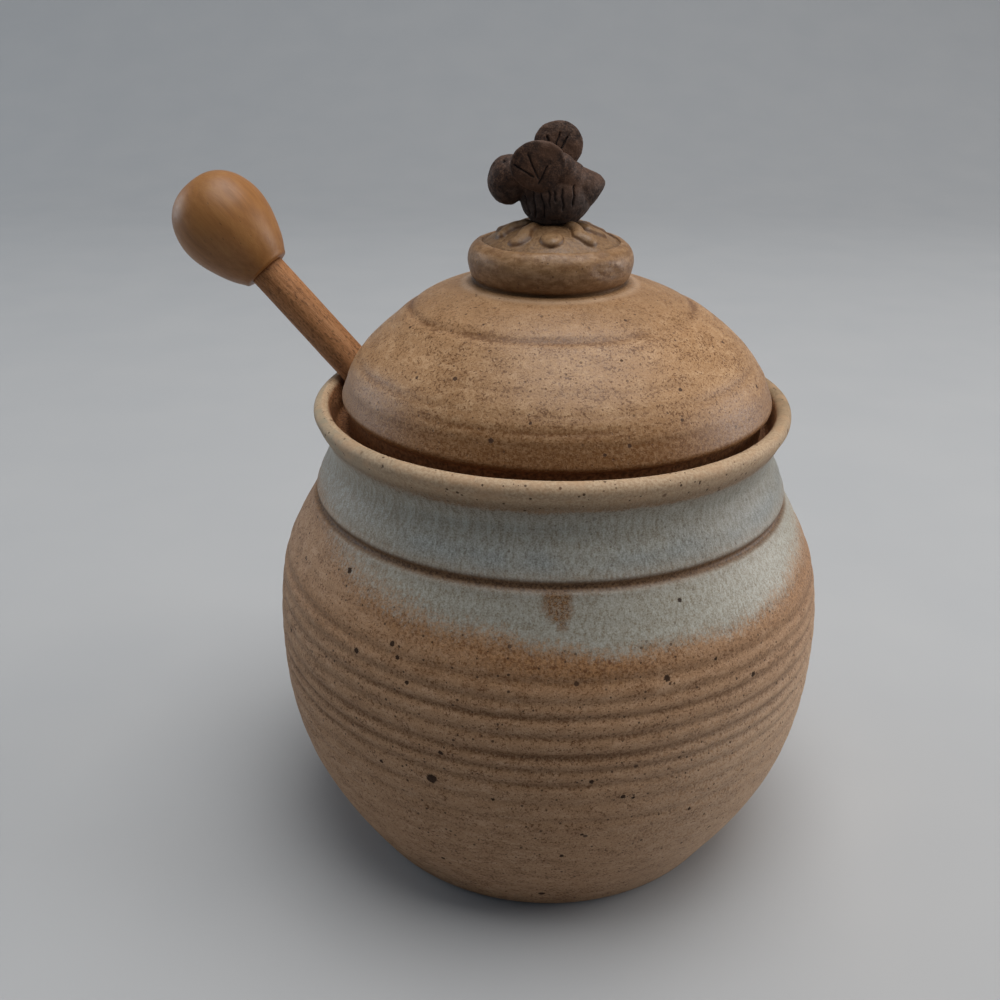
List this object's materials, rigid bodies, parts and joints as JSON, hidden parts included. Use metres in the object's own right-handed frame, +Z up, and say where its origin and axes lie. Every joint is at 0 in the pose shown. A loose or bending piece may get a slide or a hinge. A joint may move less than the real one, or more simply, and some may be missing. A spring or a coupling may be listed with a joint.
{
  "type": "lidded ceramic honey pot with wooden dipper",
  "caption": "Round-bellied stoneware honey pot with a waisted neck, a domed lid with a clay bee on its knob, and a wooden dipper leaning out between lid and rim.",
  "frame": {"origin": "centre of the pot's flat foot, on the surface it stands on", "axes": "+Z up along the pot's axis; the dipper leans out towards -X; -Y is the front"},
  "size_m": [0.1407, 0.1202, 0.1548],
  "materials": {
    "pot_glaze": "speckled tan stoneware, satin, with a pale blue-grey glaze over neck and shoulder",
    "lid_glaze": "speckled tan stoneware, satin",
    "bee_clay": "dark brown unglazed clay, matt",
    "stick_wood": "unfinished dowel, slightly rough",
    "handle_wood": "smooth turned hardwood"
  },
  "bodies": {
    "root": {"pot": "pot_glaze", "lid": "lid_glaze", "bee": "bee_clay", "dipper_stick": "stick_wood", "dipper_handle": "handle_wood"}
  },
  "joints": []
}
